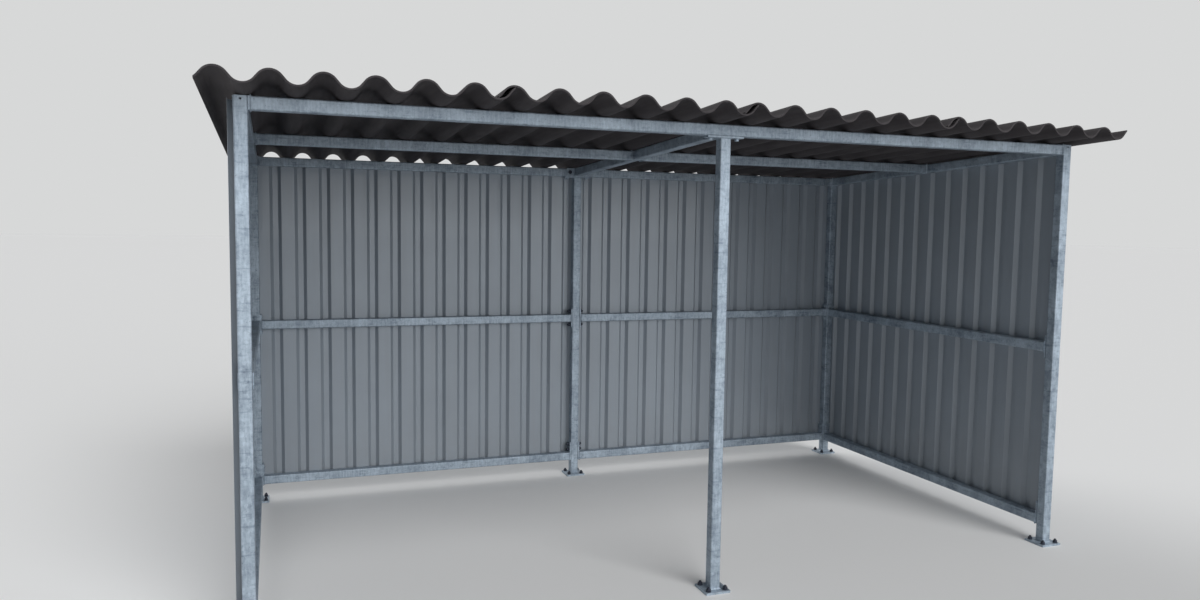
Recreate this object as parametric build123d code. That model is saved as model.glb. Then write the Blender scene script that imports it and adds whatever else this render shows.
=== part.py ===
from build123d import *
import math
import os

# Open-fronted shelter: a bolted frame of galvanised square tube, ribbed steel
# walls on the back and both sides, and a single-pitch roof of corrugated sheets.
# All lengths are in millimetres. X runs along the front, Y from the front to the
# back and Z upwards. The origin lies on the ground under the middle of the roof.

# Square tube of the frame
tube_size = 50.0
tube_wall = 3.0
tube_corner = 6.0

# Frame, measured between the centre lines of the posts
bay_width = 1960.0
frame_depth = 2010.0
front_height = 2090.0
back_height = 2015.0

# Base plates and their anchor holes
base_plate_size = 120.0
base_plate_thickness = 10.0
anchor_spacing = 84.0
anchor_hole = 14.0

# Head plates of the middle posts, bolted up to the beams
head_plate_length = 175.0
head_plate_thickness = 8.0
head_bolt_spacing = 130.0
bolt_hole = 13.0

# Plates welded to the ends of rails, beams, rafters and purlins
end_plate_thickness = 8.0
rail_plate_height = 120.0
rafter_plate_length = 150.0

# Openings that let zinc into the closed tubes and out again: a square one in
# each welded plate and a round one high on the front of each corner post
plate_vent = 16.0
post_vent = 8.0
post_vent_drop = 12.0

# Rails, given by the height of their centre lines
middle_rail_height = 1045.0
bottom_rail_height = 125.0

# Corrugated roof sheets
wave_pitch = 177.0
wave_height = 51.0
wave_flank_angle = 50.0
waves_per_sheet = 6
roof_sheet_thickness = 6.5
roof_sheet_length = 2440.0
roof_sheet_count = 4
sheet_edge_before_crest = 62.0
sheet_edge_after_crest = 150.0
lap_crest_step = 148.0
front_overhang = 220.0
roof_seat_gap = 0.3

# Ribbed wall sheets: flat pans against the frame, ribs outwards
rib_pitch = 137.5
rib_height = 20.0
rib_crest = 29.0
rib_web_run = 18.0
wall_sheet_thickness = 0.8
wall_top_gap = 10.0
ribs_per_wall_sheet = 8
back_wall_ribs = 29

# Places that follow from the sizes above
half_tube = tube_size / 2
frame_half_width = bay_width + half_tube
post_lines = {"left": -bay_width, "middle": 0.0, "right": bay_width}
slope = math.atan2(front_height - back_height, frame_depth)
front_edge_y = -roof_sheet_length * math.cos(slope) / 2
front_line_y = front_edge_y + front_overhang + half_tube
back_line_y = front_line_y + frame_depth
purlin_line_y = (front_line_y + back_line_y) / 2
back_face_y = back_line_y + half_tube
wall_bottom = bottom_rail_height - half_tube


def roof_line(y):
    """Height of the plane on which the roof sheets lie."""
    return front_height - (y - front_line_y - half_tube) * math.tan(slope)


def tube(length):
    """Hollow square tube with rounded outer corners, standing on Z = 0."""
    bore_size = tube_size - 2 * tube_wall
    outside = RectangleRounded(tube_size, tube_size, tube_corner)
    return extrude(outside - Rectangle(bore_size, bore_size), length)


def vented_plate(width, depth, thickness, vent_x=0.0):
    """Flat plate lying on Z = 0, with a square vent over the bore of a tube."""
    outline = Rectangle(width, depth) - Pos(vent_x, 0) * Rectangle(plate_vent, plate_vent)
    return extrude(outline, thickness)


def base_plate():
    """Square foot with four anchor holes."""
    foot = vented_plate(base_plate_size, base_plate_size, base_plate_thickness)
    half = anchor_spacing / 2
    for x, y in ((-half, -half), (half, -half), (half, half), (-half, half)):
        foot -= Pos(x, y, 0) * Cylinder(anchor_hole / 2, 3 * base_plate_thickness)
    return foot


def corner_post(top):
    """Post that rises beside the end of a beam, closed at its top."""
    length = top - base_plate_thickness
    bore_size = tube_size - 2 * tube_wall
    shaft = extrude(RectangleRounded(tube_size, tube_size, tube_corner), length)
    shaft -= extrude(Rectangle(bore_size, bore_size), length - tube_wall)
    vent = Rot(90, 0, 0) * Cylinder(post_vent / 2, tube_size)
    shaft -= Pos(0, -half_tube, length - post_vent_drop) * vent
    return base_plate() + Pos(0, 0, base_plate_thickness) * shaft


def middle_post(beam_bottom):
    """Post that ends under a beam in a head plate with two bolt holes."""
    shaft_length = beam_bottom - base_plate_thickness - head_plate_thickness
    head = vented_plate(head_plate_length, tube_size, head_plate_thickness)
    for x in (-head_bolt_spacing / 2, head_bolt_spacing / 2):
        head -= Pos(x, 0, 0) * Cylinder(bolt_hole / 2, 3 * head_plate_thickness)
    shaft = Pos(0, 0, base_plate_thickness) * tube(shaft_length)
    return base_plate() + shaft + Pos(0, 0, beam_bottom - head_plate_thickness) * head


def bar_with_end_plates(length, plate_length, plate_shift):
    """Tube along X, centred, with a vented plate on each end."""
    shaft_length = length - 2 * end_plate_thickness
    body = Pos(-shaft_length / 2, 0, 0) * Rot(0, 90, 0) * tube(shaft_length)
    end = vented_plate(plate_length, tube_size, end_plate_thickness, -plate_shift)
    for start in (-length / 2 + end_plate_thickness, length / 2):
        body += Pos(start, 0, plate_shift) * Rot(0, -90, 0) * end
    return body


def beam():
    """Beam between two corner posts, with plates as tall as the tube."""
    return bar_with_end_plates(2 * bay_width - tube_size, tube_size, 0.0)


def middle_rail(length):
    """Rail whose end plates stand out as far above as below it."""
    return bar_with_end_plates(length, rail_plate_height, 0.0)


def bottom_rail(length):
    """Rail whose end plates stand up above it only."""
    return bar_with_end_plates(length, rail_plate_height, (rail_plate_height - tube_size) / 2)


def purlin():
    """Purlin between two rafters."""
    return bar_with_end_plates(bay_width - tube_size, tube_size, 0.0)


def rafter(start_y, end_y, plate_length):
    """Sloping tube between two upright faces, with upright end plates."""
    run = end_y - start_y
    middle_y = (start_y + end_y) / 2
    centre_z = roof_line(middle_y) - half_tube / math.cos(slope)
    stock_length = run + 2 * tube_size
    stock = Rot(-90, 0, 0) * Pos(0, 0, -stock_length / 2) * tube(stock_length)
    stock = Pos(0, middle_y, centre_z) * Rot(-math.degrees(slope), 0, 0) * stock
    clear_run = run - 2 * end_plate_thickness
    body = stock & (Pos(0, middle_y, centre_z) * Box(2 * tube_size, clear_run, front_height))
    end = vented_plate(plate_length, tube_size, end_plate_thickness)
    for y, face_y in ((start_y, start_y + end_plate_thickness), (end_y, end_y)):
        body += Pos(0, face_y, roof_line(y) - half_tube) * Rot(90, 0, 0) * end
    return body


def wave_section(start, end):
    """Face of the corrugated sheet across the roof, on the plane Y = 0.

    The first crest is at X = 0 and the troughs rest on Z = 0. The middle line is made
    of equal arcs joined by straight flanks, and the section is cut square at its edges.
    """
    angle = math.radians(wave_flank_angle)
    half_pitch = wave_pitch / 2
    chord_ratio = (1 - math.cos(angle)) / math.sin(angle)
    radius = (half_pitch * math.sin(angle) - wave_height * math.cos(angle)) / 2
    radius = radius / (math.sin(angle) ** 2 - (1 - math.cos(angle)) * math.cos(angle))
    half_thickness = roof_sheet_thickness / 2
    low_centre = half_thickness + radius
    high_centre = half_thickness + wave_height - radius
    first = math.floor(start / wave_pitch) - 1
    last = math.ceil(end / wave_pitch) + 1

    def surface(offset):
        """Edges of the surface that lies the offset above the middle line."""
        crest_radius = radius + offset
        trough_radius = radius - offset
        crest_reach = crest_radius * math.sin(angle)
        trough_reach = trough_radius * math.sin(angle)
        crest_foot = high_centre + crest_radius * math.cos(angle)
        trough_foot = low_centre - trough_radius * math.cos(angle)
        edges = []
        for index in range(first, last + 1):
            crest_x = index * wave_pitch
            trough_x = crest_x + half_pitch
            crest_start = (crest_x - crest_reach, crest_foot)
            crest_top = (crest_x, high_centre + crest_radius)
            crest_end = (crest_x + crest_reach, crest_foot)
            trough_start = (trough_x - trough_reach, trough_foot)
            trough_low = (trough_x, low_centre - trough_radius)
            trough_end = (trough_x + trough_reach, trough_foot)
            next_start = (crest_x + wave_pitch - crest_reach, crest_foot)
            edges.append(ThreePointArc(crest_start, crest_top, crest_end))
            edges.append(Line(crest_end, trough_start))
            edges.append(ThreePointArc(trough_start, trough_low, trough_end))
            edges.append(Line(trough_end, next_start))
        return edges

    upper = surface(half_thickness)
    lower = surface(-half_thickness)
    left = Line(lower[0] @ 0, upper[0] @ 0)
    right = Line(lower[-1] @ 1, upper[-1] @ 1)
    section = make_face(upper + lower + [left, right])
    window = Pos((start + end) / 2, wave_height / 2) * Rectangle(end - start, 4 * wave_height)
    return section & window


def roof_sheet(first_crest_x):
    """One corrugated sheet, laid on the roof line with its first crest at the given X."""
    end = (waves_per_sheet - 1) * wave_pitch + sheet_edge_after_crest
    section = wave_section(-sheet_edge_before_crest, end)
    sheet = extrude(section, roof_sheet_length)
    sheet = Rot(90, 0, 0) * Pos(0, 0, -roof_sheet_length) * sheet
    seat = roof_line(front_edge_y) + roof_seat_gap
    return Pos(first_crest_x, front_edge_y, seat) * Rot(-math.degrees(slope), 0, 0) * sheet


def ribbed_outline(length, laps_over):
    """Plan outline of a wall sheet from the start of one rib crest, as (along, out) pairs.

    It starts on a crest, raised by one thickness where it laps over the sheet before it,
    and stops at the given length.
    """
    mitre = wall_sheet_thickness * math.tan(math.atan2(rib_height, rib_web_run) / 2)
    raised = wall_sheet_thickness if laps_over else 0.0
    inner = []
    outer = []
    place = 0.0
    crest_level = rib_height + raised
    while place < length:
        corners = [
            (place, crest_level, -mitre if place else 0.0),
            (place + rib_crest, crest_level, mitre),
            (place + rib_crest + rib_web_run, 0.0, mitre),
            (place + rib_pitch - rib_web_run, 0.0, -mitre),
        ]
        for along, level, shift in corners:
            if along < length:
                inner.append((along, level))
                outer.append((along + shift, level + wall_sheet_thickness))
        place += rib_pitch
        crest_level = rib_height
    end_level = inner[-1][1]
    inner.append((length, end_level))
    outer.append((length, end_level + wall_sheet_thickness))
    return inner + outer[::-1]


def wall_run(total):
    """Starts, lengths and laps of the sheets that make up one wall."""
    cover = ribs_per_wall_sheet * rib_pitch
    runs = []
    start = 0.0
    while total - start > rib_pitch:
        whole = start + cover + rib_crest < total
        length = cover + rib_crest if whole else total - start
        runs.append((start, length, start > 0))
        start += cover
        if not whole:
            break
    return runs


def back_wall():
    """Ribbed sheets across the back, from left to right."""
    total = back_wall_ribs * rib_pitch
    height = roof_line(back_face_y) - wall_top_gap - wall_bottom
    sheets = []
    for start, length, laps_over in wall_run(total):
        points = ribbed_outline(length, laps_over)
        plan = [(start + along - total / 2, back_face_y + out) for along, out in points]
        face = make_face(Polyline(*plan, close=True))
        sheets.append(Pos(0, 0, wall_bottom) * extrude(face, height))
    return sheets


def side_wall(side):
    """Ribbed sheets along one side, from front to back, cut to the slope at the top."""
    total = back_face_y - front_line_y
    tall = roof_line(front_line_y) - wall_bottom
    sheets = []
    for start, length, laps_over in wall_run(total):
        points = ribbed_outline(length, laps_over)
        shift = front_line_y + start
        plan = [(side * (frame_half_width + out), shift + along) for along, out in points]
        face = make_face(Polyline(*plan, close=True))
        sheet = Pos(0, 0, wall_bottom) * extrude(face, tall, dir=(0, 0, 1))
        above = Pos(0, 0, roof_line(0.0) - wall_top_gap)
        cutter = above * Rot(-math.degrees(slope), 0, 0) * Pos(0, 0, front_height / 2)
        sheets.append(sheet - cutter * Box(4 * bay_width, 4 * frame_depth, front_height))
    return sheets


def frame_nodes():
    """Posts, beams, rafters, purlins and rails in their places."""
    nodes = {}
    for name, x in post_lines.items():
        middle = name == "middle"
        front = middle_post(front_height - tube_size) if middle else corner_post(front_height)
        back = middle_post(back_height - tube_size) if middle else corner_post(back_height)
        nodes["front_post_" + name] = Pos(x, front_line_y, 0) * front
        nodes["back_post_" + name] = Pos(x, back_line_y, 0) * back
        wide = rafter_plate_length if middle else tube_size
        sloping = rafter(front_line_y + half_tube, back_line_y - half_tube, wide)
        nodes["rafter_" + name] = Pos(x, 0, 0) * sloping

    nodes["front_beam"] = Pos(0, front_line_y, front_height - half_tube) * beam()
    nodes["back_beam"] = Pos(0, back_line_y, back_height - half_tube) * beam()

    back_length = bay_width - tube_size
    side_length = frame_depth - tube_size
    purlin_centre = roof_line(purlin_line_y + half_tube) - half_tube
    for name, side in (("left", -1), ("right", 1)):
        bay_x = side * bay_width / 2
        nodes["purlin_" + name] = Pos(bay_x, purlin_line_y, purlin_centre) * purlin()
        low = Pos(bay_x, back_line_y, bottom_rail_height)
        high = Pos(bay_x, back_line_y, middle_rail_height)
        nodes["back_bottom_rail_" + name] = low * bottom_rail(back_length)
        nodes["back_middle_rail_" + name] = high * middle_rail(back_length)
        low = Pos(side * bay_width, purlin_line_y, bottom_rail_height) * Rot(0, 0, 90)
        high = Pos(side * bay_width, purlin_line_y, middle_rail_height) * Rot(0, 0, 90)
        nodes["side_bottom_rail_" + name] = low * bottom_rail(side_length)
        nodes["side_middle_rail_" + name] = high * middle_rail(side_length)
    return nodes


def cladding_nodes():
    """Roof and wall sheets in their places."""
    nodes = {}
    sheet_step = (waves_per_sheet - 1) * wave_pitch + lap_crest_step
    roof_width = (roof_sheet_count - 1) * sheet_step + (waves_per_sheet - 1) * wave_pitch
    roof_width += sheet_edge_before_crest + sheet_edge_after_crest
    first_crest = -roof_width / 2 + sheet_edge_before_crest
    for index in range(roof_sheet_count):
        nodes[f"roof_sheet_{index + 1}"] = roof_sheet(first_crest + index * sheet_step)
    for index, sheet in enumerate(back_wall()):
        nodes[f"back_wall_sheet_{index + 1}"] = sheet
    for name, side in (("left", -1), ("right", 1)):
        for index, sheet in enumerate(side_wall(side)):
            nodes[f"{name}_wall_sheet_{index + 1}"] = sheet
    return nodes


os.makedirs("parts", exist_ok=True)
for node, body in {**frame_nodes(), **cladding_nodes()}.items():
    export_step(body, f"parts/{node}.step")
    print(node, round(body.volume))
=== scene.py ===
"""Finishes, fasteners, light and camera for the bike shelter, laid out as an add-on."""

import contextlib
import math

import bpy
from mathutils import Matrix, Vector


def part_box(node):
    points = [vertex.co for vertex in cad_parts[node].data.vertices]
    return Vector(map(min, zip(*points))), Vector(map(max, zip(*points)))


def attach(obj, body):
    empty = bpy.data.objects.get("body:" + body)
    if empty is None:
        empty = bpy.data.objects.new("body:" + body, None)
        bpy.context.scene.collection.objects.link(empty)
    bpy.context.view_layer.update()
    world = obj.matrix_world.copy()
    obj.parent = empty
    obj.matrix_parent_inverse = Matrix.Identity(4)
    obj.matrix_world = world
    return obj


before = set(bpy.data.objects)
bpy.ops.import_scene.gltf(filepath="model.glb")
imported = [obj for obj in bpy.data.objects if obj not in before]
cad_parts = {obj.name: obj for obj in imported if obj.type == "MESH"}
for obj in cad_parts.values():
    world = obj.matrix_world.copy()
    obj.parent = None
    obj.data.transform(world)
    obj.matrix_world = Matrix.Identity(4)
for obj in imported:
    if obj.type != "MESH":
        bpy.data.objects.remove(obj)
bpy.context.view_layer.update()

bl_info = {
    "name": "Bike shelter",
    "version": (1, 0, 0),
    "blender": (4, 5, 0),
    "location": "3D View > Sidebar > Shelter",
    "description": "Dresses the frame, walls and roof of a bike shelter",
    "category": "Object",
}


# ---------------------------------------------------------------- the frame

def low(node):
    """Lowest corner of a node of the frame."""
    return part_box(node)[0]


def high(node):
    """Highest corner of a node of the frame."""
    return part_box(node)[1]


def middle(node):
    """Centre of a node's box."""
    return (low(node) + high(node)) / 2


ROWS = ("front", "back")
LINES = ("left", "middle", "right")
SIDES = ("left", "right")
TUBE = high("front_beam").z - low("front_beam").z
BASE_PLATE = 0.010
HEAD_PLATE = 0.008
END_PLATE = 0.008
SLOPE = math.atan2(
    high("front_beam").z - high("back_beam").z,
    middle("back_beam").y - middle("front_beam").y,
)
UP = Vector((0, 0, 1))


def rafter_top(y):
    """Height of the top of the rafters at a distance from front to back."""
    return high("front_beam").z - (y - high("front_beam").y) * math.tan(SLOPE)


def rafter_ends(rafter):
    """Distance along the depth, height and inward sign of a rafter's two end plates."""
    return (
        (low(rafter).y + END_PLATE, high(rafter).z - TUBE / 2, 1),
        (high(rafter).y - END_PLATE, low(rafter).z + TUBE / 2, -1),
    )


def pointing(direction, place):
    """Place and turn of a piece that was made upright, so that it points along a direction."""
    turn = UP.rotation_difference(Vector(direction)).to_matrix().to_4x4()
    return Matrix.Translation(place) @ turn


def on_end_plate(bar, axis, sign, height):
    """Place on the inside of a bar's end plate, pointing into the bar's length."""
    place = middle(bar)
    place[axis] = low(bar)[axis] + END_PLATE if sign > 0 else high(bar)[axis] - END_PLATE
    direction = Vector((0, 0, 0))
    direction[axis] = sign
    return pointing(direction, (place.x, place.y, height))


# ----------------------------------------------------------------- settings

def length(name, default, description):
    """Setting for a size in metres."""
    return bpy.props.FloatProperty(
        name=name, description=description, default=default, min=0.0, unit="LENGTH", precision=5
    )


def colour(name, default, description):
    """Setting for a colour."""
    return bpy.props.FloatVectorProperty(
        name=name, description=description, default=default, subtype="COLOR", size=3,
        min=0.0, max=1.0,
    )


def intensity(name, default, description):
    """Setting for the strength of a light."""
    return bpy.props.FloatProperty(name=name, description=description, default=default, min=0.0)


def angle(name, default, description):
    """Setting for an angle in radians."""
    return bpy.props.FloatProperty(
        name=name, description=description, default=default, subtype="ANGLE"
    )


class ShelterBoltSettings(bpy.types.PropertyGroup):
    """Bolts, nuts and anchors of the frame."""

    diameter: length("Diameter", 0.012, "Thread diameter of bolts and anchors")
    pitch: length("Thread pitch", 0.00175, "Distance between two thread crests")
    across_flats: length("Across flats", 0.019, "Width of nuts and bolt heads")
    nut_height: length("Nut height", 0.010, "Height of a nut")
    head_height: length("Head height", 0.0075, "Height of a bolt head")
    washer_diameter: length("Washer diameter", 0.024, "Outside diameter of a washer")
    washer_thickness: length("Washer thickness", 0.0025, "Thickness of a washer")
    anchor_spacing: length("Anchor spacing", 0.084, "Distance between the anchors of a foot")
    anchor_end: length("Anchor end", 0.0075, "Thread that stands out of an anchor's nut")
    bolt_end: length("Bolt end", 0.007, "Thread that stands out of a bolt's nut")
    middle_rail_offset: length(
        "Middle rail bolts", 0.044, "Height of the bolts from the rail's centre"
    )
    bottom_rail_first: length(
        "Bottom rail, lower bolt", 0.018, "Height of the lower bolt above the rail"
    )
    bottom_rail_second: length(
        "Bottom rail, upper bolt", 0.052, "Height of the upper bolt above the rail"
    )
    head_plate_offset: length(
        "Head plate bolts", 0.065, "Distance of the bolts from the post's centre"
    )
    rafter_offset: length("Rafter bolts", 0.055, "Distance of the bolts from the rafter's centre")


class ShelterScrewSettings(bpy.types.PropertyGroup):
    """Screws of the walls and the roof."""

    rib_pitch: length("Rib pitch", 0.1375, "Distance between two ribs of a wall sheet")
    pan_middle: length(
        "Pan centre", 0.08325, "From the start of a crest to the middle of the next pan"
    )
    sheet_thickness: length("Wall sheet thickness", 0.0008, "Thickness of a wall sheet")
    wall_washer: length("Wall washer", 0.015, "Diameter of a wall screw's sealing washer")
    wall_flats: length("Wall screw flats", 0.008, "Width of a wall screw's head across flats")
    wall_head: length("Wall screw head", 0.0045, "Height of a wall screw's head")
    wave_pitch: length("Wave pitch", 0.177, "Distance between two crests of a roof sheet")
    wave_height: length("Wave height", 0.051, "Height of a roof sheet's waves")
    first_crest: length("First crest", 0.062, "From a roof sheet's edge to its first crest")
    roof_cap: length("Roof cap", 0.024, "Diameter of the sealing cap in a trough")
    trough_step: bpy.props.IntProperty(
        name="Trough step", description="Every how many troughs a roof screw stands",
        default=2, min=1,
    )


class ShelterWeldSettings(bpy.types.PropertyGroup):
    """Weld beads between tubes and plates."""

    leg: length("Leg", 0.0045, "Width of a bead on the tube and on the plate")
    ripple: length("Ripple", 0.0007, "How far the bead's surface rises and falls")


class ShelterFinishSettings(bpy.types.PropertyGroup):
    """Colours of the finishes."""

    # Zinc tones: the blotches and patches are the zinc's own, but their dark blue-grey is painted
    # shade and painted sky reflection.
    zinc_light: colour("Zinc, light", (0.44, 0.52, 0.60), "Bright patches of the galvanising")
    zinc_dark: colour("Zinc, dark", (0.13, 0.17, 0.22), "Dull patches of the galvanising")
    zinc_speck: colour("Zinc, specks", (0.07, 0.085, 0.105), "Dark specks in the galvanising")
    # Bolt tone: near-black painted shade on the small anchors, nuts and rafter bolts, darker than
    # their steel.
    bolt_metal: colour(
        "Bolt metal", (0.035, 0.04, 0.055), "Blackened steel of anchors and rail bolts"
    )
    # Wall tone: darker and bluer than the light grey coating, as painted shade with a blue sky
    # tint.
    wall: colour("Wall sheet", (0.288, 0.328, 0.374), "Coating of the wall sheets")
    wall_dust: colour("Wall dust", (0.262, 0.272, 0.278), "Dust and splashes low on the walls")
    roof: colour("Roof sheet", (0.044, 0.040, 0.043), "Fibre cement of the roof")
    roof_bloom: colour("Roof bloom", (0.096, 0.089, 0.092), "Pale bloom on the fibre cement")
    rubber: colour("Rubber", (0.02, 0.02, 0.02), "Sealing washers and caps")


class ShelterStageSettings(bpy.types.PropertyGroup):
    """Floor, lamps and camera."""

    floor: colour("Floor", (0.84, 0.84, 0.835), "Colour of the floor")
    backdrop: colour("Backdrop", (0.68, 0.687, 0.687), "Colour behind the shelter")
    ambient: intensity("Ambient light", 0.20, "Strength of the light from all round")
    key: intensity("Key light", 1.75, "Strength of the high soft light from the front")
    fill: intensity("Fill light", 1.05, "Strength of the low soft light from the front")
    rim: intensity("Rim light", 0.9, "Strength of the soft light from behind")
    softness: angle("Softness", 0.7, "Angle under which a light is seen")
    camera_place: bpy.props.FloatVectorProperty(
        name="Camera place", description="Where the camera stands",
        default=(-1.8544, -4.4744, 1.6287), subtype="TRANSLATION", size=3,
    )
    camera_turn: angle("Camera turn", 0.3528, "How far the camera looks to the right")
    camera_tilt: angle("Camera tilt", 0.0798, "How far the camera looks down")
    camera_roll: angle("Camera roll", 0.014, "How far the camera leans")
    camera_lens: bpy.props.FloatProperty(
        name="Camera lens", description="Focal length in millimetres on a 36 mm sensor",
        default=26.61, min=1.0,
    )


# ------------------------------------------------------- modelling by hand

def deselect():
    """Leaves nothing selected, so that an operator acts on its own piece only."""
    if bpy.context.object and bpy.context.object.mode != "OBJECT":
        bpy.ops.object.mode_set(mode="OBJECT")
    bpy.ops.object.select_all(action="DESELECT")


def start(name, primitive, **settings):
    """New primitive at its size and place, as the only selected object."""
    deselect()
    primitive(**settings)
    piece = bpy.context.object
    piece.name = name
    piece.data.name = name
    apply_place(piece)
    return piece


def take(piece):
    """Makes a piece the only selected and active object."""
    deselect()
    piece.select_set(True)
    bpy.context.view_layer.objects.active = piece


def apply_place(piece):
    """Moves a piece's place, turn and scale into its mesh."""
    take(piece)
    bpy.ops.object.transform_apply(location=True, rotation=True, scale=True)


@contextlib.contextmanager
def editing(piece, chosen, mode="FACE"):
    """Edit mode with the faces selected for which chosen(centre, normal) holds."""
    take(piece)
    bpy.ops.object.mode_set(mode="EDIT")
    bpy.ops.mesh.select_mode(type="FACE")
    bpy.ops.mesh.select_all(action="DESELECT")
    bpy.ops.object.mode_set(mode="OBJECT")
    for face in piece.data.polygons:
        face.select = chosen(face.center, face.normal)
    bpy.ops.object.mode_set(mode="EDIT")
    bpy.ops.mesh.select_mode(type=mode)
    yield
    bpy.ops.mesh.select_mode(type="FACE")
    bpy.ops.object.mode_set(mode="OBJECT")


def rise_and_shrink(rise, scale):
    """Extrudes the selected face upwards and scales the new face about its centre."""
    bpy.ops.mesh.extrude_region_move(TRANSFORM_OT_translate={"value": (0, 0, rise)})
    bpy.ops.transform.resize(value=(scale, scale, 1))


# The share of its normal along Z from which a face counts as level
LEVEL = 0.9


def faces_up(centre, normal):
    """Chooses the faces that look up."""
    return normal.z > LEVEL


def faces_down(centre, normal):
    """Chooses the faces that look down."""
    return normal.z < -LEVEL


def caps(centre, normal):
    """Chooses the faces at both ends of an upright piece."""
    return abs(normal.z) > LEVEL


def flanks(centre, normal):
    """Chooses the faces round the sides of an upright piece."""
    return abs(normal.z) < LEVEL


def finish_with(piece, kind, **settings):
    """Adds a modifier, sets it and applies it."""
    take(piece)
    modifier = piece.modifiers.new(kind.title(), kind)
    for key, value in settings.items():
        setattr(modifier, key, value)
    bpy.ops.object.modifier_apply(modifier=modifier.name)


def smooth(piece, degrees=40):
    """Shades a piece smooth, apart from its sharp edges."""
    take(piece)
    bpy.ops.object.shade_smooth_by_angle(angle=math.radians(degrees))


def join(pieces, name):
    """Joins pieces into one with the given name."""
    deselect()
    for piece in pieces:
        piece.select_set(True)
    bpy.context.view_layer.objects.active = pieces[0]
    if len(pieces) > 1:
        bpy.ops.object.join()
    joined = bpy.context.object
    joined.name = name
    joined.data.name = name
    return joined


def copies(pattern, places, name):
    """Copies a pattern to each place, joins the copies and keeps the pattern for more."""
    made = []
    for place in places:
        copy = pattern.copy()
        copy.data = pattern.data.copy()
        bpy.context.scene.collection.objects.link(copy)
        copy.matrix_world = place
        made.append(copy)
    joined = join(made, name)
    apply_place(joined)
    return joined


def discard(*pieces):
    """Removes patterns that have been copied."""
    for piece in pieces:
        bpy.data.objects.remove(piece, do_unlink=True)


def finished(piece, coat=None):
    """Gives a piece its material and ties it to the frame."""
    if coat:
        piece.data.materials.clear()
        piece.data.materials.append(coat)
    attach(piece, "root")


# ------------------------------------------------------------------ shaders

class Term:
    """Output of a node that takes part in sums and products."""

    def __init__(self, shader, socket):
        self.shader = shader
        self.socket = socket

    def math(self, operation, first, second):
        """Term for the result of an operation on two terms or numbers."""
        return self.shader.node("ShaderNodeMath", {"operation": operation}, {0: first, 1: second})

    def __add__(self, other):
        return self.math("ADD", self, other)

    def __radd__(self, other):
        return self.math("ADD", other, self)

    def __sub__(self, other):
        return self.math("SUBTRACT", self, other)

    def __mul__(self, other):
        return self.math("MULTIPLY", self, other)

    def __rmul__(self, other):
        return self.math("MULTIPLY", other, self)


class Shader:
    """Nodes of a material or of the world, made from expressions."""

    def __init__(self, owner):
        owner.use_nodes = True
        self.owner = owner
        self.tree = owner.node_tree
        self.tree.nodes.clear()

    def node(self, kind, settings=None, sockets=None, output=0):
        """Node of a type, with its settings and then the values or links of its sockets."""
        node = self.tree.nodes.new(kind)
        for key, value in (settings or {}).items():
            if key == "stops":
                for stop, position in zip(node.color_ramp.elements, value):
                    stop.position = position
            else:
                setattr(node, key, value)
        for key, value in (sockets or {}).items():
            socket = node.inputs[key]
            if isinstance(value, Term):
                self.tree.links.new(value.socket, socket)
            elif hasattr(value, "__len__") and len(value) == 3 and socket.type == "RGBA":
                socket.default_value = (*value, 1.0)
            else:
                socket.default_value = value
        return Term(self, node.outputs[output]) if node.outputs else None

    def place(self):
        """Coordinates of the piece, in metres."""
        return self.node("ShaderNodeTexCoord", output="Object")

    def stretched(self, scale):
        """Coordinates stretched along the axes."""
        return self.node("ShaderNodeMapping", None, {"Vector": self.place(), "Scale": scale})

    def noise(self, scale, detail, vector=None, roughness=0.55):
        """Cloudy value from 0 to 1, with patches about 1 / scale metres wide."""
        sockets = {"Scale": scale, "Detail": detail, "Roughness": roughness}
        sockets["Vector"] = vector or self.place()
        return self.node("ShaderNodeTexNoise", None, sockets, "Fac")

    def cells(self, scale):
        """Random value from 0 to 1 for each crystal about 1 / scale metres wide."""
        sockets = {"Vector": self.place(), "Scale": scale}
        found = self.node("ShaderNodeTexVoronoi", None, sockets, "Color")
        return self.node("ShaderNodeSeparateColor", None, {"Color": found})

    def ramp(self, value, first, last):
        """Value that is 0 up to the first stop, 1 from the last, and rises between them."""
        return self.node("ShaderNodeValToRGB", {"stops": (first, last)}, {"Fac": value})

    def mixed(self, factor, first, second):
        """Colour between two colours."""
        sockets = {0: factor, 6: first, 7: second}
        return self.node("ShaderNodeMix", {"data_type": "RGBA"}, sockets, 2)

    def bump(self, height, distance, strength):
        """Normal of a surface that rises with the height value."""
        sockets = {"Height": height, "Distance": distance, "Strength": strength}
        return self.node("ShaderNodeBump", None, sockets)

    def surface(self, sockets):
        """Ends the material in a surface with the given socket values."""
        principled = self.node("ShaderNodeBsdfPrincipled", None, sockets)
        self.node("ShaderNodeOutputMaterial", None, {"Surface": principled})
        return self.owner


def new_shader(name):
    """Shader of a new material."""
    return Shader(bpy.data.materials.new(name))


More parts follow.
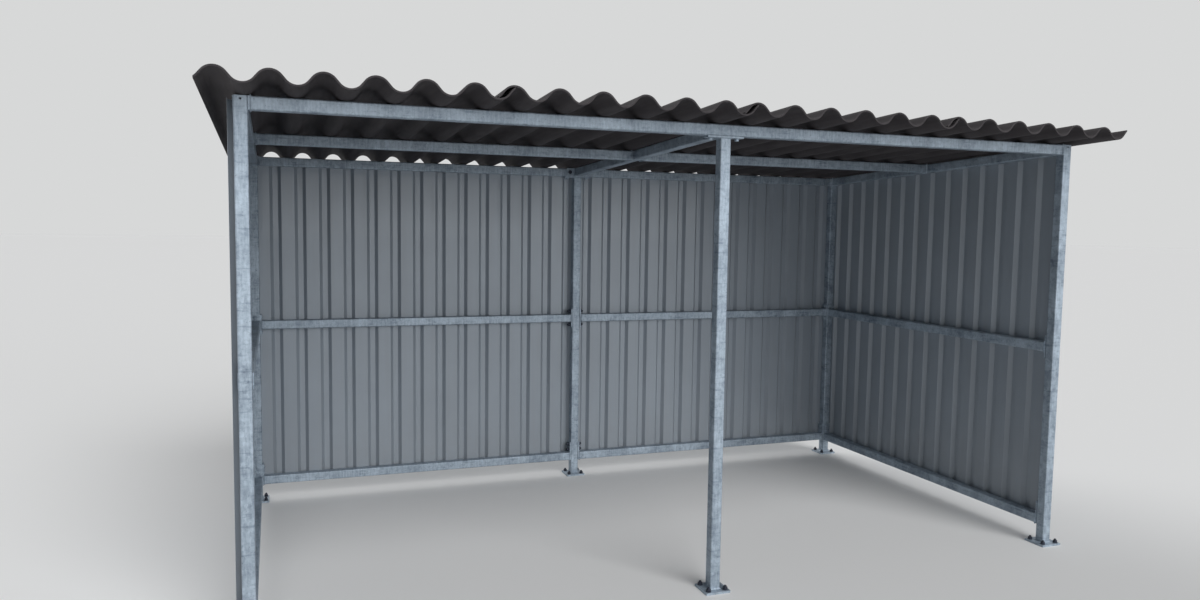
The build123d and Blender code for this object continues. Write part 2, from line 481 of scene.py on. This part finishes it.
def hot_dip_zinc(finish):
    """Hot-dip zinc: small crystals, soft blotches, fine runs and a dull shine, in a dark blue-grey
    tone that is painted shade and painted sky reflection.
    """
    shader = new_shader("hot_dip_zinc")
    crystals = shader.cells(85.0)
    blotches = shader.ramp(shader.noise(26.0, 6.0, roughness=0.7), 0.40, 0.60)
    patches = shader.ramp(shader.noise(5.0, 4.0), 0.40, 0.60)
    grain = shader.noise(240.0, 2.0)
    specks = shader.ramp(shader.noise(130.0, 3.0), 0.62, 0.72)
    drips = shader.ramp(shader.noise(9.0, 5.0, shader.stretched((1.0, 1.0, 8.0))), 0.56, 0.66)
    runs = shader.ramp(shader.noise(16.0, 4.0, shader.stretched((7.0, 1.0, 1.0))), 0.42, 0.62)
    light = 0.13 + 0.24 * crystals + 0.30 * blotches + 0.26 * patches + 0.22 * runs - 0.26 * drips
    # The mix of the two zinc tones carries their painted shade and painted sky reflection.
    shaded_zinc = shader.mixed(light, finish.zinc_dark, finish.zinc_light)
    return shader.surface({
        "Base Color": shader.mixed(0.5 * specks, shaded_zinc, finish.zinc_speck),
        "Metallic": 0.45,
        "Roughness": 0.42 + 0.12 * crystals + 0.14 * blotches,
        "Normal": shader.bump(0.6 * grain + 0.4 * crystals, 0.0004, 0.35),
    })


def blackened_steel(finish):
    """Dark steel of bolts, nuts and anchors: the near-black tone is painted shade, the lighter
    patches are wear.
    """
    shader = new_shader("blackened_steel")
    wear = shader.ramp(shader.noise(160.0, 3.0), 0.45, 0.75)
    worn = tuple(2.6 * part for part in finish.bolt_metal)
    return shader.surface({
        "Base Color": shader.mixed(wear, finish.bolt_metal, worn),
        "Metallic": 0.75,
        "Roughness": 0.42 + 0.2 * wear,
    })


def wall_coating(finish, bottom):
    """Thin coil coating: faint clouds, rain streaks, fine rubs, and dust towards the floor, over a
    base whose dark blue-grey is painted shade with a blue sky tint.
    """
    shader = new_shader("wall_coating")
    streaks = shader.noise(3.0, 4.0, shader.stretched((14.0, 14.0, 0.7)))
    clouds = shader.ramp(shader.noise(2.2, 4.0), 0.35, 0.65)
    rubs = shader.ramp(shader.noise(34.0, 5.0, shader.stretched((1.0, 1.0, 0.12))), 0.58, 0.76)
    height = shader.node("ShaderNodeSeparateXYZ", None, {"Vector": shader.place()}, "Z")
    dusty_height = 0.55
    rise = shader.node("ShaderNodeMapRange", None, {
        "Value": height, "From Min": bottom, "From Max": bottom + dusty_height,
        "To Min": 1.0, "To Max": 0.0,
    })
    splashes = shader.ramp(shader.noise(28.0, 4.0), 0.35, 0.8)
    dried = shader.ramp(streaks, 0.45, 0.75)
    dust = rise * rise * (0.35 + 0.65 * splashes) + 0.30 * dried
    # Base of the coat: the wall tone, whose darkness and blue are painted shade with a blue sky
    # tint.
    tint = tuple(0.90 * part for part in finish.wall)
    coat = shader.mixed(0.7 * clouds + 0.3 * rubs, finish.wall, tint)
    grain = shader.noise(420.0, 1.0)
    dents = shader.noise(5.0, 1.0)
    return shader.surface({
        "Base Color": shader.mixed(dust * 0.45, coat, finish.wall_dust),
        "Metallic": 0.12,
        "Roughness": 0.38 + 0.2 * dust + 0.06 * rubs,
        "Coat Weight": 0.12,
        "Normal": shader.bump(dents + 0.01 * grain, 0.004, 0.5),
    })


def fibre_cement(finish):
    """Matt fibre cement with a faint bloom and pressed grain."""
    shader = new_shader("fibre_cement")
    bloom = shader.ramp(shader.noise(6.0, 5.0), 0.40, 0.72)
    along = shader.ramp(shader.noise(8.0, 4.0, shader.stretched((5.0, 0.5, 5.0))), 0.42, 0.70)
    specks = shader.ramp(shader.noise(320.0, 2.0), 0.55, 0.75)
    pale = 0.30 * bloom + 0.25 * along + 0.25 * specks
    grain = shader.noise(150.0, 4.0)
    return shader.surface({
        "Base Color": shader.mixed(pale, finish.roof, finish.roof_bloom),
        "Roughness": 0.80 + 0.12 * bloom,
        "Specular IOR Level": 0.15,
        "Normal": shader.bump(grain, 0.0008, 0.4),
    })


def sealing_rubber(finish):
    """Black rubber of washers and caps."""
    shader = new_shader("sealing_rubber")
    return shader.surface({"Base Color": finish.rubber, "Roughness": 0.65})


def material(make, *settings):
    """Material of a function that bears its name, made on its first use."""
    return bpy.data.materials.get(make.__name__) or make(*settings)


def paint(names, coat):
    """Gives nodes of the frame a material."""
    for name in names:
        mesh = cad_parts[name].data
        mesh.materials.clear()
        mesh.materials.append(coat)


# ----------------------------------------------------------------- fasteners

def hexagon(name, across_flats, height, base):
    """Hexagonal head or nut whose corners are cut back at both ends."""
    piece = start(
        name, bpy.ops.mesh.primitive_cylinder_add, vertices=6, radius=across_flats / math.sqrt(3),
        depth=height, location=(0, 0, base + height / 2),
    )
    corner_cut = across_flats * 0.07
    with editing(piece, caps, "VERT"):
        bpy.ops.mesh.bevel(affect="VERTICES", offset=corner_cut, segments=1)
    return piece


def washer(name, diameter, thickness, base):
    """Flat round washer with softened edges."""
    piece = start(
        name, bpy.ops.mesh.primitive_cylinder_add, vertices=24, radius=diameter / 2,
        depth=thickness, location=(0, 0, base + thickness / 2),
    )
    edge = thickness * 0.2
    finish_with(piece, "BEVEL", width=edge, segments=1, limit_method="ANGLE")
    return piece


def thread(name, diameter, pitch, base, end):
    """Threaded end of a bolt, as rings from the base to a chamfered tip."""
    piece = start(
        name, bpy.ops.mesh.primitive_cylinder_add, vertices=16, radius=diameter / 2,
        depth=pitch, location=(0, 0, base + pitch / 2),
    )
    # Widths as shares of the thread's crest
    root = 0.86
    tip = 0.75
    with editing(piece, faces_up):
        for _ in range(max(1, round((end - base) / pitch) - 1)):
            rise_and_shrink(pitch / 2, root)
            rise_and_shrink(pitch / 2, 1 / root)
        rise_and_shrink(pitch / 2, tip)
    return piece


def nut_and_end(name, sizes, reach):
    """Washer, nut and threaded end, standing on Z = 0."""
    nut_base = sizes.washer_thickness
    nut_top = nut_base + sizes.nut_height
    parts = [
        washer("washer", sizes.washer_diameter, sizes.washer_thickness, 0.0),
        hexagon("nut", sizes.across_flats, sizes.nut_height, nut_base),
        thread("end", sizes.diameter, sizes.pitch, nut_top - sizes.pitch, nut_top + reach),
    ]
    piece = join(parts, name)
    smooth(piece)
    return piece


def head_and_washer(name, sizes):
    """Washer and hexagonal bolt head, standing on Z = 0."""
    parts = [
        washer("washer", sizes.washer_diameter, sizes.washer_thickness, 0.0),
        hexagon("head", sizes.across_flats, sizes.head_height, sizes.washer_thickness),
    ]
    piece = join(parts, name)
    smooth(piece)
    return piece


class SHELTER_OT_anchors(bpy.types.Operator):
    """Adds four threaded anchors with nuts and washers to each foot"""

    bl_idname = "shelter.anchors"
    bl_label = "Anchors"

    def execute(self, context):
        sizes = context.scene.shelter_bolts
        metal = material(blackened_steel, context.scene.shelter_finish)
        pattern = nut_and_end("anchor", sizes, sizes.anchor_end)
        half = sizes.anchor_spacing / 2
        for row in ROWS:
            for line in LINES:
                foot = middle(f"{row}_post_{line}")
                places = [
                    Matrix.Translation((foot.x + x, foot.y + y, BASE_PLATE))
                    for x in (-half, half) for y in (-half, half)
                ]
                piece = copies(pattern, places, f"anchors_{row}_{line}")
                finished(piece, metal)
        discard(pattern)
        return {"FINISHED"}


def button_head(name, sizes):
    """Low round bolt head with a socket, standing on Z = 0."""
    radius = sizes.diameter * 0.9
    rim_height = 0.0015
    dome = ((0.0022, 0.88), (0.0014, 0.76))
    socket_wall = sizes.diameter * 0.24
    socket_depth = 0.003
    piece = start(
        name, bpy.ops.mesh.primitive_cylinder_add, vertices=24, radius=radius,
        depth=rim_height, location=(0, 0, rim_height / 2),
    )
    with editing(piece, faces_up):
        for rise, scale in dome:
            rise_and_shrink(rise, scale)
        bpy.ops.mesh.inset(thickness=socket_wall)
        bpy.ops.mesh.extrude_region_move(TRANSFORM_OT_translate={"value": (0, 0, -socket_depth)})
    smooth(piece)
    return piece


class SHELTER_OT_rail_bolts(bpy.types.Operator):
    """Adds the bolts that hold the wall rails to the posts"""

    bl_idname = "shelter.rail_bolts"
    bl_label = "Rail bolts"

    def execute(self, context):
        sizes = context.scene.shelter_bolts
        metal = material(blackened_steel, context.scene.shelter_finish)
        shaded_zinc = material(hot_dip_zinc, context.scene.shelter_finish)
        through = nut_and_end("nut", sizes, sizes.bolt_end)
        corner = button_head("button", sizes)
        for wall, axis in (("back", 0), ("side", 1)):
            for line in SIDES:
                for kind in ("middle", "bottom"):
                    node = f"{wall}_{kind}_rail_{line}"
                    if kind == "middle":
                        base = middle(node).z
                        offsets = (-sizes.middle_rail_offset, sizes.middle_rail_offset)
                    else:
                        base = low(node).z + TUBE
                        offsets = (sizes.bottom_rail_first, sizes.bottom_rail_second)
                    ends = {1: corner, -1: corner}
                    if wall == "back":
                        ends[1 if line == "right" else -1] = through
                    for sign, pattern in ends.items():
                        end = "start" if sign > 0 else "end"
                        places = [
                            on_end_plate(node, axis, sign, base + offset) for offset in offsets
                        ]
                        piece = copies(pattern, places, f"{node}_bolts_{end}")
                        finished(piece, metal if pattern is through else shaded_zinc)
        discard(through, corner)
        return {"FINISHED"}


class SHELTER_OT_head_bolts(bpy.types.Operator):
    """Adds the bolts of the middle posts' head plates and of the middle rafter"""

    bl_idname = "shelter.head_bolts"
    bl_label = "Head plate and rafter bolts"

    def execute(self, context):
        sizes = context.scene.shelter_bolts
        shaded_zinc = material(hot_dip_zinc, context.scene.shelter_finish)
        # Steel with near-black painted shade, for the rafter bolts.
        black = material(blackened_steel, context.scene.shelter_finish)
        pattern = head_and_washer("bolt", sizes)
        for row in ROWS:
            post = f"{row}_post_middle"
            centre = middle(post)
            under = high(post).z - HEAD_PLATE
            places = [
                pointing((0, 0, -1), (centre.x + side * sizes.head_plate_offset, centre.y, under))
                for side in (-1, 1)
            ]
            finished(copies(pattern, places, f"head_plate_bolts_{row}"), shaded_zinc)
        x = middle("rafter_middle").x
        for row, (y, z, sign) in zip(ROWS, rafter_ends("rafter_middle")):
            places = [
                pointing((0, sign, 0), (x + side * sizes.rafter_offset, y, z)) for side in (-1, 1)
            ]
            finished(copies(pattern, places, f"rafter_bolts_{row}"), black)
        discard(pattern)
        return {"FINISHED"}


# -------------------------------------------------------------------- welds

def weld_collar(sizes):
    """Bead round a tube that stands on a plate at Z = 0."""
    leg = sizes.leg
    # How far the bead reaches into the tube's wall
    sunk = 0.0005
    cuts = 11
    ripple_width = 0.006
    diagonal = math.sqrt(2)
    piece = start(
        "weld", bpy.ops.mesh.primitive_cone_add, vertices=4, radius1=(TUBE / 2 + leg) * diagonal,
        radius2=(TUBE / 2) * diagonal, depth=leg, location=(0, 0, leg / 2),
        rotation=(0, 0, math.pi / 4),
    )
    with editing(piece, faces_up):
        bpy.ops.mesh.inset(thickness=sunk)
    with editing(piece, faces_down):
        bpy.ops.mesh.inset(thickness=leg + sunk)

    def inner_caps(centre, normal):
        """Chooses what is left of both ends inside the bead."""
        return caps(centre, normal) and abs(centre.x) + abs(centre.y) < TUBE / 4

    with editing(piece, inner_caps):
        bpy.ops.mesh.bridge_edge_loops()
    with editing(piece, flanks):
        bpy.ops.mesh.subdivide(number_cuts=cuts)
    ripple = bpy.data.textures.new("weld_ripple", "CLOUDS")
    ripple.noise_scale = ripple_width
    finish_with(
        piece, "DISPLACE", texture=ripple, strength=2 * sizes.ripple, mid_level=0.5,
        texture_coords="LOCAL",
    )
    bpy.data.textures.remove(ripple)
    smooth(piece, 60)
    return piece


def weld_places():
    """Places of the beads, by the name of the tube that carries them."""
    found = {}
    for row in ROWS:
        for line in LINES:
            post = f"{row}_post_{line}"
            foot = middle(post)
            found[post] = [Matrix.Translation((foot.x, foot.y, BASE_PLATE))]
        post = f"{row}_post_middle"
        centre = middle(post)
        head = pointing((0, 0, -1), (centre.x, centre.y, high(post).z - HEAD_PLATE))
        found[post].append(head)
    bars = [("front_beam", 0), ("back_beam", 0)]
    for line in SIDES:
        for kind in ("purlin", "back_middle_rail", "back_bottom_rail"):
            bars.append((f"{kind}_{line}", 0))
        for kind in ("side_middle_rail", "side_bottom_rail"):
            bars.append((f"{kind}_{line}", 1))
    for bar, axis in bars:
        height = low(bar).z + TUBE / 2 if "bottom" in bar else middle(bar).z
        found[bar] = [on_end_plate(bar, axis, sign, height) for sign in (1, -1)]
    for line in LINES:
        bar = f"rafter_{line}"
        x = middle(bar).x
        found[bar] = [pointing((0, sign, 0), (x, y, z)) for y, z, sign in rafter_ends(bar)]
    return found


class SHELTER_OT_welds(bpy.types.Operator):
    """Adds the weld beads between tubes and plates"""

    bl_idname = "shelter.welds"
    bl_label = "Welds"

    def execute(self, context):
        shaded_zinc = material(hot_dip_zinc, context.scene.shelter_finish)
        pattern = weld_collar(context.scene.shelter_welds)
        for bar, places in weld_places().items():
            finished(copies(pattern, places, f"welds_{bar}"), shaded_zinc)
        discard(pattern)
        return {"FINISHED"}


# ------------------------------------------------------------------- screws

def wall_screw(sizes, rubber, metal):
    """Self-drilling screw head on its sealing washer, standing on Z = 0."""
    radius = sizes.wall_washer / 2
    seal_height = 0.0018
    taper = 0.94
    plate_height = 0.0006
    slope_width = sizes.wall_washer * 0.16
    slope_rise = 0.0005
    # How far the head sits in the plate
    sunk = 0.0002
    seal = start(
        "seal", bpy.ops.mesh.primitive_cylinder_add, vertices=14, radius=radius,
        depth=seal_height / 2, location=(0, 0, seal_height / 4),
    )
    with editing(seal, faces_up):
        rise_and_shrink(seal_height / 2, taper)
    seal.data.materials.append(rubber)
    plate = start(
        "plate", bpy.ops.mesh.primitive_cylinder_add, vertices=14, radius=radius * taper,
        depth=plate_height, location=(0, 0, seal_height + plate_height / 2),
    )
    with editing(plate, faces_up):
        bpy.ops.mesh.inset(thickness=slope_width)
        bpy.ops.transform.translate(value=(0, 0, slope_rise))
    head_base = seal_height + plate_height + slope_rise - sunk
    head = hexagon("head", sizes.wall_flats, sizes.wall_head, head_base)
    plate.data.materials.append(metal)
    head.data.materials.append(metal)
    piece = join([seal, plate, head], "wall_screw")
    smooth(piece)
    return piece


def rail_heights(wall, along):
    """Heights of the bottom rail, the middle rail and the top member behind a wall."""
    line = "left" if wall == "back" else wall
    kind = "back" if wall == "back" else "side"
    bottom = low(f"{kind}_bottom_rail_{line}").z + TUBE / 2
    centre = middle(f"{kind}_middle_rail_{line}").z
    top = middle("back_beam").z if wall == "back" else rafter_top(along) - TUBE / 2
    return bottom, centre, top


class SHELTER_OT_wall_screws(bpy.types.Operator):
    """Adds a screw in each pan of the wall sheets at each rail"""

    bl_idname = "shelter.wall_screws"
    bl_label = "Wall screws"

    def execute(self, context):
        sizes = context.scene.shelter_screws
        finish = context.scene.shelter_finish
        rubber = material(sealing_rubber, finish)
        shaded_zinc = material(hot_dip_zinc, finish)
        pattern = wall_screw(sizes, rubber, shaded_zinc)
        outside = TUBE / 2 + sizes.sheet_thickness
        for wall in ("back", "left", "right"):
            axis = 0 if wall == "back" else 1
            last = "back_wall_sheet_4" if wall == "back" else f"{wall}_wall_sheet_2"
            end = high(last)[axis] - sizes.rib_pitch / 4
            places = []
            along = low(f"{wall}_wall_sheet_1")[axis] + sizes.pan_middle
            while along < end:
                for height in rail_heights(wall, along):
                    if wall == "back":
                        face = middle("back_post_left").y + outside
                        places.append(pointing((0, 1, 0), (along, face, height)))
                    else:
                        side = -1 if wall == "left" else 1
                        face = middle(f"front_post_{wall}").x + side * outside
                        places.append(pointing((side, 0, 0), (face, along, height)))
                along += sizes.rib_pitch
            finished(copies(pattern, places, f"wall_screws_{wall}"))
        discard(pattern)
        return {"FINISHED"}


def roof_screw(sizes, rubber, metal):
    """Domed sealing cap and hexagonal head of a screw that goes through a trough at Z = 0."""
    dip = 0.002
    rim = 0.001
    dome = ((0.0012, 0.92), (0.001, 0.8), (0.0006, 0.62))
    head_base = 0.0036
    head_height = 0.0040
    cap = start(
        "cap", bpy.ops.mesh.primitive_cylinder_add, vertices=20, radius=sizes.roof_cap / 2,
        depth=dip + rim, location=(0, 0, (rim - dip) / 2),
    )
    with editing(cap, faces_up):
        for rise, scale in dome:
            rise_and_shrink(rise, scale)
    cap.data.materials.append(rubber)
    head = hexagon("head", sizes.wall_flats, head_height, head_base)
    head.data.materials.append(metal)
    piece = join([cap, head], "roof_screw")
    smooth(piece)
    return piece


class SHELTER_OT_roof_screws(bpy.types.Operator):
    """Adds the screws that hold the roof sheets' troughs to the beams and purlins"""

    bl_idname = "shelter.roof_screws"
    bl_label = "Roof screws"

    def execute(self, context):
        sizes = context.scene.shelter_screws
        finish = context.scene.shelter_finish
        rubber = material(sealing_rubber, finish)
        shaded_zinc = material(hot_dip_zinc, finish)
        pattern = roof_screw(sizes, rubber, shaded_zinc)
        sheets = sorted(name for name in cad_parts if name.startswith("roof_sheet_"))
        front_edge = low(sheets[0]).y
        trough_top = high(sheets[0]).z - sizes.wave_height
        supports = {"front_beam": "front_beam", "purlin": "purlin_left", "back_beam": "back_beam"}
        for line, node in supports.items():
            y = middle(node).y
            top = trough_top - (y - front_edge) * math.tan(SLOPE)
            places = []
            for sheet in sheets:
                x = low(sheet).x + sizes.first_crest + sizes.wave_pitch / 2
                while x < high(sheet).x - sizes.wave_pitch:
                    places.append(Matrix.Translation((x, y, top)) @ Matrix.Rotation(-SLOPE, 4, "X"))
                    x += sizes.trough_step * sizes.wave_pitch
            finished(copies(pattern, places, f"roof_screws_{line}"))
        discard(pattern)
        return {"FINISHED"}


# ----------------------------------------------------------------- finishes

class SHELTER_OT_finish_steel(bpy.types.Operator):
    """Galvanises the posts, beams, rafters, purlins and rails"""

    bl_idname = "shelter.finish_steel"
    bl_label = "Galvanised steel"

    def execute(self, context):
        shaded_zinc = material(hot_dip_zinc, context.scene.shelter_finish)
        paint([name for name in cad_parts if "sheet" not in name], shaded_zinc)
        return {"FINISHED"}


class SHELTER_OT_finish_walls(bpy.types.Operator):
    """Coats the wall sheets"""

    bl_idname = "shelter.finish_walls"
    bl_label = "Wall coating"

    def execute(self, context):
        bottom = low("back_wall_sheet_1").z
        coat = material(wall_coating, context.scene.shelter_finish, bottom)
        paint([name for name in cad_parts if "wall_sheet" in name], coat)
        return {"FINISHED"}


class SHELTER_OT_finish_roof(bpy.types.Operator):
    """Gives the roof sheets the look of fibre cement"""

    bl_idname = "shelter.finish_roof"
    bl_label = "Fibre cement roof"

    def execute(self, context):
        cement = material(fibre_cement, context.scene.shelter_finish)
        paint([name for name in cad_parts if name.startswith("roof_sheet")], cement)
        return {"FINISHED"}


# -------------------------------------------------------------------- stage

FLOOR_SIZE = 240.0
# Places from which the lamps shine towards the origin
LAMPS = {"key": (1.2, -6.0, 5.5), "fill": (1.5, -6.0, 0.9), "rim": (-3.0, 6.0, 6.0)}
SENSOR = 36.0


def soft_light(name, place, strength, softness):
    """Soft light from the direction of a place, as even on the floor as on the shelter."""
    deselect()
    bpy.ops.object.light_add(type="SUN", location=place)
    light = bpy.context.object
    light.name = name
    light.data.energy = strength
    light.data.angle = softness
    light.rotation_euler = Vector(place).to_track_quat("Z", "Y").to_euler()


def backdrop_world(stage):
    """Even light from all round, with a pale backdrop for the camera and in reflections."""
    world = bpy.data.worlds.new("backdrop")
    shader = Shader(world)
    daylight = (0.93, 0.96, 1.0)
    ambient, shown = [
        shader.node("ShaderNodeBackground", None, {"Color": tone, "Strength": power})
        for tone, power in ((daylight, stage.ambient), (stage.backdrop, 1.0))
    ]
    camera, glossy, transmission = [
        shader.node("ShaderNodeLightPath", output=f"Is {kind} Ray")
        for kind in ("Camera", "Glossy", "Transmission")
    ]
    seen = camera + glossy + transmission
    mixed = shader.node("ShaderNodeMixShader", None, {0: seen, 1: ambient, 2: shown})
    shader.node("ShaderNodeOutputWorld", None, {"Surface": mixed})
    bpy.context.scene.world = world


class SHELTER_OT_stage(bpy.types.Operator):
    """Sets the floor, the soft lamps and the camera"""

    bl_idname = "shelter.stage"
    bl_label = "Stage"

    def execute(self, context):
        stage = context.scene.shelter_stage
        floor = start("floor", bpy.ops.mesh.primitive_plane_add, size=FLOOR_SIZE)
        shader = new_shader("floor")
        matt = {"Base Color": stage.floor, "Roughness": 1.0, "Specular IOR Level": 0.0}
        floor.data.materials.append(shader.surface(matt))
        backdrop_world(stage)
        for name, place in LAMPS.items():
            soft_light(name, place, getattr(stage, name), stage.softness)
        deselect()
        bpy.ops.object.camera_add()
        camera = bpy.context.object
        camera.name = "camera"
        camera.matrix_world = (
            Matrix.Translation(stage.camera_place)
            @ Matrix.Rotation(-stage.camera_turn, 4, "Z")
            @ Matrix.Rotation(math.pi / 2 - stage.camera_tilt, 4, "X")
            @ Matrix.Rotation(stage.camera_roll, 4, "Z")
        )
        camera.data.lens = stage.camera_lens
        camera.data.sensor_width = SENSOR
        context.scene.camera = camera
        context.scene.view_settings.view_transform = "Standard"
        return {"FINISHED"}


# ------------------------------------------------------------------- add-on

class SHELTER_PT_panel(bpy.types.Panel):
    """Steps and sizes of the bike shelter"""

    bl_label = "Bike shelter"
    bl_idname = "SHELTER_PT_panel"
    bl_space_type = "VIEW_3D"
    bl_region_type = "UI"
    bl_category = "Shelter"

    def draw(self, context):
        for step in STEPS:
            self.layout.operator(step.bl_idname)
        for name, group in SETTINGS.items():
            box = self.layout.box()
            box.label(text=group.__doc__)
            for key in group.__annotations__:
                box.prop(getattr(context.scene, name), key)


SETTINGS = {
    "shelter_bolts": ShelterBoltSettings,
    "shelter_screws": ShelterScrewSettings,
    "shelter_welds": ShelterWeldSettings,
    "shelter_finish": ShelterFinishSettings,
    "shelter_stage": ShelterStageSettings,
}
STEPS = (
    SHELTER_OT_finish_steel,
    SHELTER_OT_finish_walls,
    SHELTER_OT_finish_roof,
    SHELTER_OT_anchors,
    SHELTER_OT_rail_bolts,
    SHELTER_OT_head_bolts,
    SHELTER_OT_welds,
    SHELTER_OT_wall_screws,
    SHELTER_OT_roof_screws,
    SHELTER_OT_stage,
)


def register():
    for name, group in SETTINGS.items():
        bpy.utils.register_class(group)
        setattr(bpy.types.Scene, name, bpy.props.PointerProperty(type=group))
    for step in STEPS:
        bpy.utils.register_class(step)
    bpy.utils.register_class(SHELTER_PT_panel)


def unregister():
    bpy.utils.unregister_class(SHELTER_PT_panel)
    for step in reversed(STEPS):
        bpy.utils.unregister_class(step)
    for name, group in SETTINGS.items():
        delattr(bpy.types.Scene, name)
        bpy.utils.unregister_class(group)


def main():
    """Registers the add-on and runs its steps in order."""
    register()
    bpy.ops.shelter.finish_steel()
    bpy.ops.shelter.finish_walls()
    bpy.ops.shelter.finish_roof()
    bpy.ops.shelter.anchors()
    bpy.ops.shelter.rail_bolts()
    bpy.ops.shelter.head_bolts()
    bpy.ops.shelter.welds()
    bpy.ops.shelter.wall_screws()
    bpy.ops.shelter.roof_screws()
    bpy.ops.shelter.stage()


if __name__ == "__main__":
    main()
